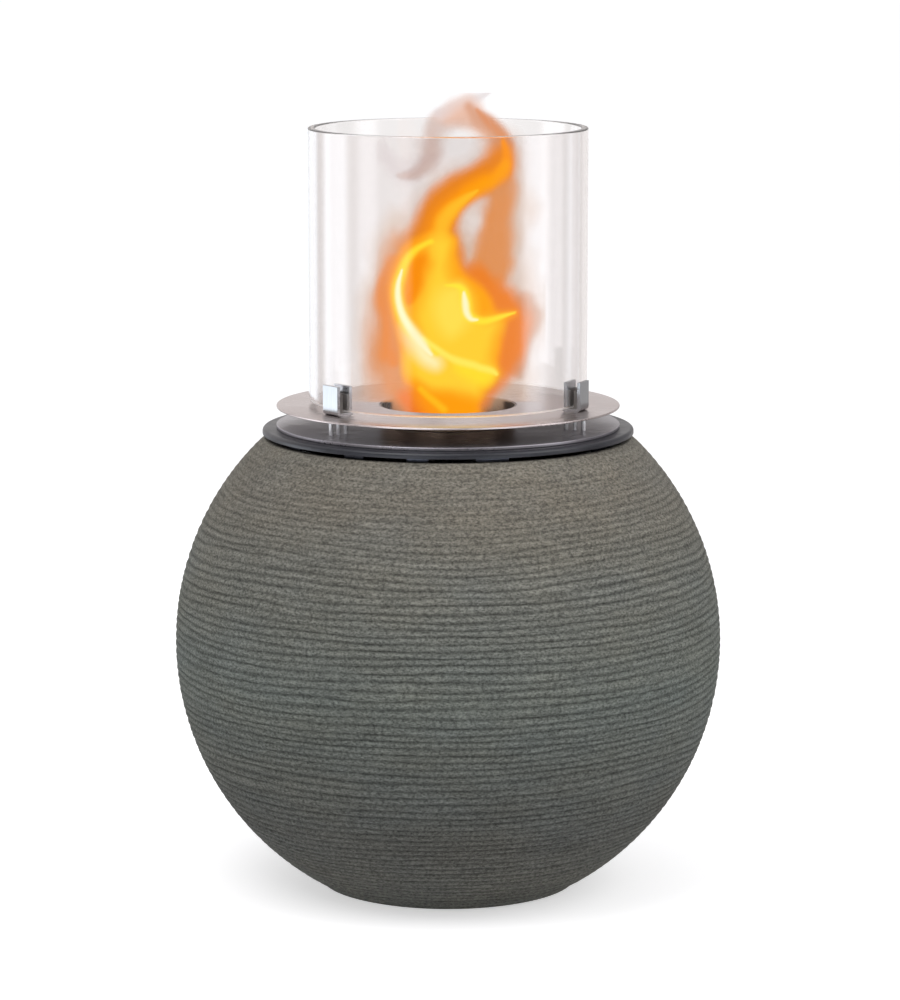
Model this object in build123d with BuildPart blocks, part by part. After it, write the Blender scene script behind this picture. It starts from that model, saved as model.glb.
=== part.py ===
"""Bioethanol fireplace: a combed fibre-cement ball, a vented steel insert and a glass cylinder.

Millimetres, +Z up. The origin is on the floor under the middle of the ball, and the front is -Y.
"""

import os
from math import asin, degrees, hypot, radians, tan

from build123d import *

os.makedirs("parts", exist_ok=True)

# Ball: an oval of revolution, cut flat at the foot and at the mouth
ball_radius = 197.0
ball_centre_height = 178.7
ball_wall = 12.0
floor_thickness = 14.0
foot_radius = 88.5
foot_ring_width = 28.5
foot_recess_depth = 4.0
foot_round = 3.0
mouth_height = 327.3
mouth_rim_width = 5.4
mouth_round = 1.5
ledge_width = 14.5
ledge_depth = 6.0
neck_thickness = 8.0
neck_angle = 22.5

# Rubber pads in pockets under the ball
pad_count = 4
pad_radius = 10.0
pad_proud = 1.5
pad_pocket_depth = 1.5
pad_clearance = 0.3
pad_chamfer = 0.6

# Collar plate, which overhangs the mouth
collar_thickness = 1.5
collar_lip_height = 4.3
collar_bend = 1.6
collar_margin = 10.1
collar_standoff = 3.0

# Vented skirt under the collar plate, on a gasket on the mouth's ledge
skirt_inset = 8.5
skirt_thickness = 1.5
skirt_flange_width = 11.0
skirt_bend = 2.0
skirt_clearance = 1.5
gasket_thickness = 1.5
gasket_clearance = 0.8

# Air slots, each by where it starts and how far it runs round, in degrees from +X.
# The four repeat in every third of the skirt.
air_slots = [(-146.5, 21.3), (-118.0, 14.8), (-96.2, 15.1), (-70.3, 34.5)]
slot_repeats = 3
slot_sill = 1.5
slot_head = 2.3

# Discs
disc_margin = 23.4
base_disc_thickness = 2.5
disc_gap = 12.2
top_disc_thickness = 1.5
disc_chamfer = 0.4

# Glass cylinder
glass_radius = 100.0
glass_wall = 5.0
glass_height = 195.0
glass_chamfer = 0.6

# Glass clips: folded U saddles, each with a silicone liner
clip_angles = {"left": -142.4, "right": -22.4, "rear": 97.6}
clip_width = 17.5
clip_thickness = 2.5
clip_height = 21.3
clip_bend = 2.0
liner_gap = 2.25
liner_glass_clearance = 0.3
liner_floor = 1.1
liner_height = 12.0
liner_round = 1.0

# Screws, washers and nuts that hold each clip
screw_radius = 1.5
screw_head_radius = 2.8
screw_seat_clearance = 0.15
screw_hole_clearance = 0.2
screw_tail = 1.0
washer_radius = 3.5
washer_thickness = 0.6
nut_across_flats = 5.5
nut_height = 2.4
thread_clearance = 0.05

# Spacer pins on both sides of each screw
pin_radius = 1.6
pin_inset = 0.75

# Fuel cup with its wick, grid and snap ring
cup_radius = 44.5
cup_thickness = 0.8
cup_depth = 69.0
cup_bend = 3.0
cup_flange_width = 4.3
cup_rim_drop = 0.5
cup_seat_clearance = 0.8
cup_exit_clearance = 0.7
wick_clearance = 0.3
grid_drop = 16.0
grid_clearance = 0.4
grid_thickness = 0.8
grid_hole_width = 6.5
grid_web = 3.5
grid_margin = 2.5
ring_section = 1.1
ring_clearance = 0.2
ring_gap = 20.0

# Spill cup under the fuel cup, riveted to the collar plate
spill_cup_side_gap = 8.5
spill_cup_floor_gap = 12.0
spill_cup_thickness = 1.0
spill_cup_bend = 4.0
spill_flange_width = 12.0
collar_bore_margin = 3.0
rivet_count = 3
rivet_radius = 1.6
rivet_clearance = 0.05
rivet_head_radius = 3.2
rivet_head_height = 1.2

# Levels, from the floor up
base_z = pad_proud
ball_centre_z = base_z + ball_centre_height
mouth_z = base_z + mouth_height
ledge_z = mouth_z - ledge_depth
neck_z = ledge_z - neck_thickness
skirt_z = ledge_z + gasket_thickness
collar_lip_z = mouth_z + collar_standoff
collar_top_z = collar_lip_z + collar_lip_height
collar_under_z = collar_top_z - collar_thickness
base_disc_top_z = collar_top_z + base_disc_thickness
top_disc_z = base_disc_top_z + disc_gap
top_disc_top_z = top_disc_z + top_disc_thickness
clip_floor_z = top_disc_top_z + clip_thickness
glass_z = clip_floor_z + liner_floor
cup_flange_z = base_disc_top_z + cup_thickness
cup_z = cup_flange_z - cup_depth
cup_rim_z = top_disc_top_z - cup_rim_drop
wick_z = cup_z + cup_thickness
grid_z = base_disc_top_z - grid_drop
spill_cup_z = cup_z - spill_cup_floor_gap - spill_cup_thickness
rivet_head_z = collar_under_z - spill_cup_thickness
nut_top_z = collar_under_z - washer_thickness
screw_end_z = nut_top_z - nut_height - screw_tail

# Radii that follow from what carries what
disc_radius = glass_radius + disc_margin
collar_radius = disc_radius + collar_margin
skirt_radius = collar_radius - skirt_inset
ledge_radius = skirt_radius + skirt_clearance
neck_radius = ledge_radius - ledge_width
mouth_radius = ledge_radius + mouth_rim_width
pad_circle_radius = foot_radius - foot_ring_width / 2
clip_radius = glass_radius - glass_wall / 2
clip_depth = glass_wall + 2 * (liner_gap + clip_thickness)
inner_pin_radius = clip_radius - clip_depth / 2 + pin_inset
outer_pin_radius = clip_radius + clip_depth / 2 - pin_inset
cup_bore_radius = cup_radius - cup_thickness
cup_flange_radius = cup_radius + cup_flange_width
cup_seat_radius = cup_radius + cup_seat_clearance
burner_hole_radius = cup_flange_radius + cup_exit_clearance
grid_radius = cup_bore_radius - grid_clearance
spill_cup_radius = cup_radius + spill_cup_side_gap
spill_flange_radius = spill_cup_radius + spill_flange_width
collar_bore_radius = spill_cup_radius + collar_bore_margin
rivet_circle_radius = (spill_flange_radius + collar_bore_radius) / 2


def save(piece, name):
    """Labels a finished piece and writes it to its own file."""
    piece.part.label = name
    export_step(piece.part, f"parts/{name}.step")


def around_clips(radius):
    """One place under each clip, at a radius."""
    return PolarLocations(radius, len(clip_angles), start_angle=clip_angles["left"])


def arc_radius(inset, rise):
    """Radius of the arc that leaves the widest level upright and comes in by inset over rise."""
    return (inset**2 + rise**2) / (2 * inset)


def oval_half(wall, bottom, top):
    """Right half of the ball's oval, inset by a wall, between two levels."""
    upper_radius = arc_radius(ball_radius - mouth_radius, mouth_z - ball_centre_z)
    lower_radius = arc_radius(ball_radius - foot_radius, ball_centre_z - base_z)
    rise = degrees(asin((top - ball_centre_z) / (upper_radius - wall)))
    fall = degrees(asin((bottom - ball_centre_z) / (lower_radius - wall)))
    with BuildSketch(Plane.XZ) as half:
        with BuildLine():
            upper = CenterArc((ball_radius - upper_radius, ball_centre_z), upper_radius - wall, 0, rise)
            lower = CenterArc((ball_radius - lower_radius, ball_centre_z), lower_radius - wall, 0, fall)
            Polyline(upper @ 1, (0, top), (0, bottom), lower @ 1)
        make_face()
    return half.sketch_local


# Ball shell
with BuildPart() as ball_shell:
    with BuildSketch(Plane.XZ):
        add(oval_half(0, base_z, mouth_z))
    revolve(axis=Axis.Z)

    # Oval hollow with a flat floor, closed above by a cone that carries the mouth's ledge
    cone_drop = (ball_radius - neck_radius) * tan(radians(neck_angle))
    with BuildSketch(Plane.XZ):
        add(oval_half(ball_wall, base_z + floor_thickness, neck_z))
        with BuildLine():
            Polyline(
                (0, base_z + floor_thickness),
                (ball_radius, base_z + floor_thickness),
                (ball_radius, neck_z - cone_drop),
                (neck_radius, neck_z),
                (0, neck_z),
                close=True,
            )
        make_face(mode=Mode.INTERSECT)
    revolve(axis=Axis.Z, mode=Mode.SUBTRACT)

    # Neck bore, and the ledge that the insert sits on
    with BuildSketch(Plane.XY.offset(neck_z)):
        Circle(neck_radius)
    extrude(amount=mouth_z - neck_z, mode=Mode.SUBTRACT)
    with BuildSketch(Plane.XY.offset(ledge_z)):
        Circle(ledge_radius)
    extrude(amount=ledge_depth, mode=Mode.SUBTRACT)

    # Hollow foot, so that the ball stands on a ring, and pockets for the pads in that ring
    with BuildSketch(Plane.XY.offset(base_z)):
        Circle(foot_radius - foot_ring_width)
    extrude(amount=foot_recess_depth, mode=Mode.SUBTRACT)
    with BuildSketch(Plane.XY.offset(base_z)):
        with PolarLocations(pad_circle_radius, pad_count, start_angle=45):
            Circle(pad_radius + pad_clearance)
    extrude(amount=pad_pocket_depth, mode=Mode.SUBTRACT)

    rim_edges = ball_shell.edges().filter_by(GeomType.CIRCLE).group_by(Axis.Z)[-1]
    fillet(rim_edges.sort_by(SortBy.RADIUS)[-1], mouth_round)
    foot_edges = ball_shell.edges().filter_by(GeomType.CIRCLE).group_by(Axis.Z)[0]
    fillet(foot_edges.sort_by(SortBy.RADIUS)[-1], foot_round)
save(ball_shell, "ball_shell")

# Rubber pads that stand a little proud of the foot
with BuildPart() as foot_pads:
    with BuildSketch():
        with PolarLocations(pad_circle_radius, pad_count, start_angle=45):
            Circle(pad_radius)
    extrude(amount=pad_proud + pad_pocket_depth)
    chamfer(foot_pads.edges().group_by(Axis.Z)[0], pad_chamfer)
save(foot_pads, "foot_pads")

# Gasket on the ledge, under the skirt's flange
with BuildPart() as seat_gasket:
    with BuildSketch(Plane.XY.offset(ledge_z)):
        Circle(ledge_radius - gasket_clearance)
        Circle(neck_radius + gasket_clearance, mode=Mode.SUBTRACT)
    extrude(amount=gasket_thickness)
save(seat_gasket, "seat_gasket")

# Skirt: rolled band with an inward flange at its foot, cut with air slots
with BuildPart() as vent_skirt:
    with BuildSketch(Plane.XZ):
        with BuildLine():
            FilletPolyline(
                (skirt_radius - skirt_flange_width, skirt_z + skirt_thickness / 2),
                (skirt_radius - skirt_thickness / 2, skirt_z + skirt_thickness / 2),
                (skirt_radius - skirt_thickness / 2, collar_under_z),
                radius=skirt_bend,
            )
        trace(line_width=skirt_thickness)
    revolve(axis=Axis.Z)
    slot_z = skirt_z + skirt_thickness + slot_sill
    with BuildSketch(Plane.XY.offset(slot_z)):
        for repeat in range(slot_repeats):
            for start, sweep in air_slots:
                angle = start + repeat * 360 / slot_repeats
                with BuildLine():
                    outer = CenterArc((0, 0), skirt_radius + skirt_thickness, angle, sweep)
                    inner = CenterArc((0, 0), skirt_radius - 2 * skirt_thickness, angle, sweep)
                    Line(outer @ 0, inner @ 0)
                    Line(outer @ 1, inner @ 1)
                make_face()
    extrude(amount=collar_under_z - slot_head - slot_z, mode=Mode.SUBTRACT)
save(vent_skirt, "vent_skirt")

# Collar plate: flat ring with a turned-down lip
with BuildPart() as collar_plate:
    with BuildSketch(Plane.XZ):
        with BuildLine():
            FilletPolyline(
                (collar_bore_radius, collar_top_z - collar_thickness / 2),
                (collar_radius - collar_thickness / 2, collar_top_z - collar_thickness / 2),
                (collar_radius - collar_thickness / 2, collar_lip_z),
                radius=collar_bend,
            )
        trace(line_width=collar_thickness)
    revolve(axis=Axis.Z)
    with BuildSketch(Plane.XY.offset(collar_under_z)):
        with around_clips(clip_radius):
            Circle(screw_radius + screw_hole_clearance)
        with PolarLocations(rivet_circle_radius, rivet_count):
            Circle(rivet_radius + rivet_clearance)
    extrude(amount=collar_thickness, mode=Mode.SUBTRACT)
save(collar_plate, "collar_plate")

# Spill cup: drawn cup hung by its flange under the collar plate
with BuildPart() as spill_cup:
    spill_wall_radius = spill_cup_radius - spill_cup_thickness / 2
    with BuildSketch(Plane.XZ):
        with BuildLine():
            FilletPolyline(
                (0, spill_cup_z + spill_cup_thickness / 2),
                (spill_wall_radius, spill_cup_z + spill_cup_thickness / 2),
                (spill_wall_radius, collar_under_z),
                radius=spill_cup_bend,
            )
        trace(line_width=spill_cup_thickness)
        with Locations((spill_cup_radius, collar_under_z)):
            Rectangle(spill_flange_width, spill_cup_thickness, align=(Align.MIN, Align.MAX))
    revolve(axis=Axis.Z)
    with BuildSketch(Plane.XY.offset(rivet_head_z)):
        with PolarLocations(rivet_circle_radius, rivet_count):
            Circle(rivet_radius + rivet_clearance)
    extrude(amount=spill_cup_thickness, mode=Mode.SUBTRACT)
save(spill_cup, "spill_cup")

# Rivets, flush on top of the collar plate, with their heads below the spill cup's flange
with BuildPart() as spill_cup_rivets:
    with BuildSketch(Plane.XY.offset(rivet_head_z)):
        with PolarLocations(rivet_circle_radius, rivet_count):
            Circle(rivet_radius)
    extrude(amount=collar_top_z - rivet_head_z)
    with BuildSketch(Plane.XY.offset(rivet_head_z)):
        with PolarLocations(rivet_circle_radius, rivet_count):
            Circle(rivet_head_radius)
    extrude(amount=-rivet_head_height)
save(spill_cup_rivets, "spill_cup_rivets")

# Base disc: carries the fuel cup in its hole
with BuildPart() as base_disc:
    with BuildSketch(Plane.XY.offset(collar_top_z)):
        Circle(disc_radius)
        Circle(cup_seat_radius, mode=Mode.SUBTRACT)
    extrude(amount=base_disc_thickness)
    chamfer(base_disc.edges().filter_by(GeomType.CIRCLE).sort_by(SortBy.RADIUS)[-2:], disc_chamfer)
    with BuildSketch(Plane.XY.offset(collar_top_z)):
        with around_clips(clip_radius):
            Circle(screw_radius + screw_hole_clearance)
    extrude(amount=base_disc_thickness, mode=Mode.SUBTRACT)
save(base_disc, "base_disc")

# Top disc: burner plate above the air gap
with BuildPart() as top_disc:
    with BuildSketch(Plane.XY.offset(top_disc_z)):
        Circle(disc_radius)
        Circle(burner_hole_radius, mode=Mode.SUBTRACT)
    extrude(amount=top_disc_thickness)
    chamfer(top_disc.edges().filter_by(GeomType.CIRCLE).sort_by(SortBy.RADIUS)[-2:], disc_chamfer)
    with BuildSketch(Plane.XY.offset(top_disc_z)):
        with around_clips(clip_radius):
            Circle(screw_radius + screw_hole_clearance)
    extrude(amount=top_disc_thickness, mode=Mode.SUBTRACT)
save(top_disc, "top_disc")

# Spacer pins: studs welded on the base disc, which the clip screws pull the top disc down on
with BuildPart() as spacer_pins:
    for radius in (inner_pin_radius, outer_pin_radius):
        with BuildSketch(Plane.XY.offset(base_disc_top_z)):
            with around_clips(radius):
                Circle(pin_radius)
        extrude(amount=disc_gap)
save(spacer_pins, "spacer_pins")

# Countersunk clip screws, from the clip's floor down through both discs and the collar plate
with BuildPart() as clip_screw:
    with BuildSketch(Plane.XZ):
        with BuildLine():
            Polyline(
                (0, clip_floor_z),
                (screw_head_radius, clip_floor_z),
                (screw_radius, clip_floor_z - (screw_head_radius - screw_radius)),
                (screw_radius, screw_end_z),
                (0, screw_end_z),
                close=True,
            )
        make_face()
    revolve(axis=Axis.Z)
with BuildPart() as clip_screws:
    with around_clips(clip_radius):
        add(clip_screw.part)
save(clip_screws, "clip_screws")

# Washers under the collar plate
with BuildPart() as screw_washers:
    with BuildSketch(Plane.XY.offset(nut_top_z)):
        with around_clips(clip_radius):
            Circle(washer_radius)
            Circle(screw_radius + screw_hole_clearance, mode=Mode.SUBTRACT)
    extrude(amount=washer_thickness)
save(screw_washers, "screw_washers")

# Hexagon nuts under the washers
with BuildPart() as screw_nuts:
    with BuildSketch(Plane.XY.offset(nut_top_z)):
        with around_clips(clip_radius):
            RegularPolygon(nut_across_flats / 2, 6, major_radius=False)
            Circle(screw_radius + thread_clearance, mode=Mode.SUBTRACT)
    extrude(amount=-nut_height)
save(screw_nuts, "screw_nuts")

# Glass clips and their liners. In a clip's own planes X points away from the middle of the glass.
for side, clip_angle in clip_angles.items():
    spoke = Plane.XY.rotated((0, 0, clip_angle))
    clip_foot = spoke.from_local_coords((clip_radius, 0, top_disc_top_z))
    clip_floor = spoke.from_local_coords((clip_radius, 0, clip_floor_z))

    # Strip folded up on both sides of the glass
    with BuildPart() as clip:
        leg = (clip_depth - clip_thickness) / 2
        with BuildSketch(Plane(origin=clip_foot, x_dir=spoke.x_dir, z_dir=-spoke.y_dir)):
            with BuildLine():
                FilletPolyline(
                    (-leg, clip_height),
                    (-leg, clip_thickness / 2),
                    (leg, clip_thickness / 2),
                    (leg, clip_height),
                    radius=clip_bend,
                )
            trace(line_width=clip_thickness)
        extrude(amount=clip_width / 2, both=True)
        with Locations(Plane(origin=clip_floor)):
            CounterSinkHole(
                screw_radius + screw_hole_clearance,
                screw_head_radius + screw_seat_clearance,
                depth=clip_thickness,
                counter_sink_angle=90,
            )
    save(clip, f"clip_{side}")

    # Silicone liner whose cheeks follow the glass
    with BuildPart() as liner:
        with BuildSketch(Plane(origin=clip_floor, x_dir=spoke.x_dir)):
            Rectangle(clip_depth - 2 * clip_thickness, clip_width)
        extrude(amount=liner_floor + liner_height)
        long_edges = liner.edges().filter_by(Axis(clip_floor, spoke.y_dir))
        fillet(long_edges.group_by(Axis.Z)[0], liner_round)
        with BuildSketch(Plane.XY.offset(glass_z)):
            Circle(glass_radius + liner_glass_clearance)
            Circle(glass_radius - glass_wall - liner_glass_clearance, mode=Mode.SUBTRACT)
        extrude(amount=liner_height, mode=Mode.SUBTRACT)
    save(liner, f"liner_{side}")

# Glass cylinder, open at both ends
with BuildPart() as glass_cylinder:
    with BuildSketch(Plane.XY.offset(glass_z)):
        Circle(glass_radius)
        Circle(glass_radius - glass_wall, mode=Mode.SUBTRACT)
    extrude(amount=glass_height)
    chamfer(glass_cylinder.edges().filter_by(GeomType.CIRCLE), glass_chamfer)
save(glass_cylinder, "glass_cylinder")

# Fuel cup: hung by its flange in the base disc, with a collar that rises through the top disc
with BuildPart() as fuel_cup:
    cup_wall_radius = cup_radius - cup_thickness / 2
    with BuildSketch(Plane.XZ):
        with BuildLine():
            FilletPolyline(
                (0, cup_z + cup_thickness / 2),
                (cup_wall_radius, cup_z + cup_thickness / 2),
                (cup_wall_radius, cup_flange_z),
                radius=cup_bend,
            )
        trace(line_width=cup_thickness)
        with Locations((cup_radius, base_disc_top_z)):
            Rectangle(cup_flange_width, cup_thickness, align=(Align.MIN, Align.MIN))
        with Locations((cup_flange_radius, base_disc_top_z)):
            Rectangle(cup_thickness, cup_rim_z - base_disc_top_z, align=(Align.MAX, Align.MIN))
    revolve(axis=Axis.Z)
save(fuel_cup, "fuel_cup")

# Ceramic-fibre wick that fills the cup
with BuildPart() as wick:
    with BuildSketch(Plane.XY.offset(wick_z)):
        Circle(cup_bore_radius - wick_clearance)
    extrude(amount=grid_z - wick_z)
    chamfer(wick.edges().group_by(Axis.Z)[0], cup_bend)
save(wick, "wick")

# Grid punched with square holes, on the wick
with BuildPart() as wick_grid:
    pitch = grid_hole_width + grid_web
    reach = grid_radius - grid_margin - grid_hole_width / 2
    steps = range(-int(reach / pitch), int(reach / pitch) + 1)
    holes = [(column * pitch, row * pitch) for column in steps for row in steps]
    with BuildSketch(Plane.XY.offset(grid_z)):
        Circle(grid_radius)
        with Locations(*[hole for hole in holes if hypot(*hole) < reach]):
            Rectangle(grid_hole_width, grid_hole_width, mode=Mode.SUBTRACT)
    extrude(amount=grid_thickness)
save(wick_grid, "wick_grid")

# Split snap ring that keeps the grid down
with BuildPart() as grid_ring:
    with BuildSketch(Plane.XZ):
        with Locations((cup_bore_radius - ring_clearance, grid_z + grid_thickness)):
            Rectangle(ring_section, ring_section, align=(Align.MAX, Align.MIN))
    revolve(axis=Axis.Z, revolution_arc=360 - ring_gap)
save(grid_ring, "grid_ring")
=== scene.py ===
"""Looks of the bioethanol fireplace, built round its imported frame. Metres, +Z up, front towards -Y."""

from math import cos, pi, radians, sin, tan

import bmesh
import bpy
import numpy as np
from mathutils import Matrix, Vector

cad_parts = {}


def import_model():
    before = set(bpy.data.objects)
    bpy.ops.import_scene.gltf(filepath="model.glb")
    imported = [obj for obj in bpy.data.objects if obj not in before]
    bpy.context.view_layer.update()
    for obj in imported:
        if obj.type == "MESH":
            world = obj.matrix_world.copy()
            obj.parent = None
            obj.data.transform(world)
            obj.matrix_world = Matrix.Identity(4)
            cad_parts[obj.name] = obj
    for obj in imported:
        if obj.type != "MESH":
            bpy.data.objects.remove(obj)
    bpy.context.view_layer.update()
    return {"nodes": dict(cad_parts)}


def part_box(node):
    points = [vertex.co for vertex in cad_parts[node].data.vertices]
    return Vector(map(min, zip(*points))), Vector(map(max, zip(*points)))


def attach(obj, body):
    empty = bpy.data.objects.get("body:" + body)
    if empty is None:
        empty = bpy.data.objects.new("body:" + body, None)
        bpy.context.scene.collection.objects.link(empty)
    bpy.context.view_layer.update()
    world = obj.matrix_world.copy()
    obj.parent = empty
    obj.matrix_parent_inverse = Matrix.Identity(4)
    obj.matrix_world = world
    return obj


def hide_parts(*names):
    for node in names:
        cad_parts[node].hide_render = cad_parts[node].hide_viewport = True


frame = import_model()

MM = 0.001

# Camera: where it stands, how far it looks down, and its lens
camera_place = (0.0014, -2.8977, 0.7557)
camera_pitch = 9.285
camera_lens = 146.365

# Studio: how much the floor is lifted towards white where it is seen, and how brightly the rest shines.
# A rise is the two heights, on a sky of radius 1, between which one ring of tones gives way to the next.
floor_lift = 0.53
floor_half_width = 30.0
matte_light = 0.62
table_rise = (-0.1445, -0.1425)
upper_rise = (-0.04, 0.02)
overhead_rise = (0.45, 0.75)
overhead_tone = (0.9, 0.9, 0.92, 1)
lamp_tone = 1.1
lamp_size = 1.6
lamp_aim = (0, 0, 0.25)
lamps = {"key": ((-0.9, -1.2, 2.4), 28), "fill": ((1.6, -0.8, 1.6), 17)}

# The flame's glow, and the lamp inside it that tints what stands round it
flame_strength = 1.18
flame_light_watts = 0.35
flame_light_colour = (1, 0.55, 0.22)
flame_light_radius = 30 * MM
flame_light_z = 400 * MM

# Ball: the same oval as the frame's, drawn finely and combed. The cone under its neck runs into the hollow
# at a share of the cone's whole drop.
ball_centre_z = 180.2 * MM
mouth_radius = 131.9 * MM
mouth_round = 1.5 * MM
ledge_radius = 126.5 * MM
ledge_z = 322.8 * MM
ledge_round = 0.6 * MM
neck_radius = 112.0 * MM
neck_z = 314.8 * MM
neck_angle = 22.5
cone_share = 0.72
ball_wall = 12.0 * MM
floor_z = 15.5 * MM
foot_radius = 88.5 * MM
foot_round = 3.0 * MM
foot_ring_radius = 60.0 * MM
foot_recess_z = 5.5 * MM
ball_columns = 320
upper_hollow_rows, lower_hollow_rows = 20, 26

# Combing of the ball: its lines, and where a line's rows of points lie between one groove and the next.
# The combing is weaker towards the mouth, between two shares of the way up.
comb_pitch = 5.5 * MM
comb_depth = 1.1 * MM
comb_level = 0.7
comb_fade = 9.0 * MM
comb_sand = 0.16 * MM
comb_passes = 12
comb_shares = (0.0, 0.09, 0.21, 0.48, 0.78, 0.92)
groove_share = 0.42
calm_shares = (0.72, 0.97)
calm_strength = 0.35
wander_seed, patch_seed, sand_seed = 7, 12, 5

# Thicknesses, bends and broken edges of the sheet parts
collar_thickness = 1.5 * MM
collar_bore = 56.0 * MM
collar_bend = 2.3 * MM
collar_edge = collar_thickness * 0.3
base_disc_bore = 45.3 * MM
burner_hole = 49.5 * MM
base_disc_round = 0.6 * MM
top_disc_round = 0.5 * MM
cup_radius = 44.5 * MM
cup_thickness = 0.8 * MM
cup_bend = 3.4 * MM
cup_edge = cup_thickness * 0.45
turned_columns = 256

# Glass: its wall, the round of its ends, and how dull the ground ends are
glass_wall = 5.0 * MM
glass_round = 1.1 * MM
glass_columns = 360
upper_dullness = 0.25
lower_dullness = 0.8

# Clips
clip_angles = {"left": -142.4, "right": -22.4, "rear": 97.6}
clip_radius = 97.5 * MM
clip_depth = 14.5 * MM
clip_width = 17.5 * MM
clip_thickness = 2.5 * MM
clip_bend = 2.0 * MM
clip_edge = 0.25 * MM


def low(node):
    """The lowest level of a node of the frame."""
    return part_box(node)[0].z


def high(node):
    """The highest level of a node of the frame."""
    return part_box(node)[1].z


def reach(node):
    """The radius of a turned node of the frame."""
    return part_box(node)[1].x


def srgb(red, green, blue):
    """A colour given as it is seen, from 0 to 255, as linear red, green, blue and alpha."""
    seen = [value / 255 for value in (red, green, blue)]
    return (*[value / 12.92 if value < 0.04045 else ((value + 0.055) / 1.055) ** 2.4 for value in seen], 1)


# Nodes

def node(tree, kind, inputs=None, **settings):
    """Adds a node. An input given as a socket is linked, and any other is set."""
    made = tree.nodes.new("ShaderNode" + kind)
    for name, value in settings.items():
        setattr(made, name, value)
    for key, value in (inputs or {}).items():
        if isinstance(value, bpy.types.NodeSocket):
            tree.links.new(value, made.inputs[key])
        else:
            made.inputs[key].default_value = value
    return made


def maths(tree, operation, first, second=0.0, clamp=False):
    return node(tree, "Math", {0: first, 1: second}, operation=operation, use_clamp=clamp).outputs[0]


def blend(tree, factor, first, second, kind="MIX"):
    made = node(tree, "Mix", {0: factor, 6: first, 7: second}, data_type="RGBA", blend_type=kind)
    return made.outputs[2]


def shaded(tree, colour, shade):
    """A colour made darker or lighter by a value."""
    grey = node(tree, "CombineColor", {0: shade, 1: shade, 2: shade}).outputs[0]
    return blend(tree, 1.0, colour, grey, "MULTIPLY")


def spread(tree, value, low_in, high_in, low_out, high_out):
    """Value moved from one range to another and kept inside it."""
    made = node(tree, "MapRange", {0: value, 1: low_in, 2: high_in, 3: low_out, 4: high_out})
    return made.outputs[0]


def ramp(tree, value, stops):
    """Colour ramp with stops given as (place, colour)."""
    made = node(tree, "ValToRGB", {0: value})
    elements = made.color_ramp.elements
    while len(elements) < len(stops):
        elements.new(1.0)
    for element, (place, colour) in zip(elements, stops):
        element.position = place
        element.color = colour
    return made.outputs[0]


def noise(tree, place, scale, detail=2.0, rough=0.5, stretch=(1, 1, 1)):
    """Noise with its scale in waves per metre, stretched by a factor along each axis."""
    mapped = node(tree, "Mapping", {"Vector": place, "Scale": stretch}).outputs[0]
    made = node(tree, "TexNoise", {"Vector": mapped, "Scale": scale, "Detail": detail, "Roughness": rough})
    return made.outputs[0]


def bump(tree, height, distance, strength=1.0, normal=None):
    inputs = {"Height": height, "Distance": distance, "Strength": strength}
    if normal:
        inputs["Normal"] = normal
    return node(tree, "Bump", inputs).outputs[0]


def finish_of(name):
    """A new material with an empty tree, its output node and the object's own coordinates."""
    material = bpy.data.materials.new(name)
    material.use_nodes = True
    tree = material.node_tree
    tree.nodes.clear()
    output = tree.nodes.new("ShaderNodeOutputMaterial")
    place = tree.nodes.new("ShaderNodeTexCoord").outputs["Object"]
    return material, tree, output, place


def surface(tree, output, shader):
    tree.links.new(shader.outputs[0], output.inputs["Surface"])


def principled(tree, output, inputs):
    surface(tree, output, node(tree, "BsdfPrincipled", inputs))


# Materials

# The fibre cement's colour by its height, in metres: its own tone with painted light and shade, lighter at
# the foot, darker just above it and lighter again higher up
stone_tones_and_painted_light = [
    (0.01, (104, 105, 100)), (0.06, (88, 89, 86)), (0.17, (101, 106, 102)), (0.25, (106, 107, 102)),
    (0.30, (107, 104, 97)),
]


def concrete():
    """Fibre cement: sandy speckle, painted shade in the comb grooves, blotches and fine pits."""
    material, tree, output, place = finish_of("combed_fibre_cement")
    comb = node(tree, "Attribute", attribute_name="comb").outputs["Fac"]
    height = node(tree, "SeparateXYZ", {0: place}).outputs[2]
    # Colour by height, which carries painted light and shade
    tint = ramp(tree, height, [(level, srgb(*tone)) for level, tone in stone_tones_and_painted_light])
    blotch = noise(tree, place, 11, detail=4, rough=0.6, stretch=(1, 1, 2.2))
    warmer = blend(tree, 1.0, tint, (1.04, 1.0, 0.95, 1), "MULTIPLY")
    tint = blend(tree, spread(tree, blotch, 0.35, 0.65, 0, 1), tint, warmer)
    grain = noise(tree, place, 520, detail=2, rough=0.75, stretch=(0.8, 0.8, 1.4))
    streak = noise(tree, place, 160, detail=4, rough=0.7, stretch=(0.16, 0.16, 3.2))
    sand = spread(tree, grain, 0.32, 0.68, 0.5, 1.52)
    drag = spread(tree, streak, 0.35, 0.62, 0.82, 1.12)
    # The comb's grooves are darkened: painted shade
    groove_painted_shade = spread(tree, comb, 0.1, 1.0, 0.62, 1.14)
    shade = maths(tree, "MULTIPLY", maths(tree, "MULTIPLY", sand, drag), groove_painted_shade)
    pits = bump(tree, grain, 0.9 * MM, 0.8)
    drags = bump(tree, streak, 0.8 * MM, 0.5, pits)
    principled(tree, output, {"Base Color": shaded(tree, tint, shade), "Roughness": 0.93,
                              "Specular IOR Level": 0.25, "Normal": drags})
    return material


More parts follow.
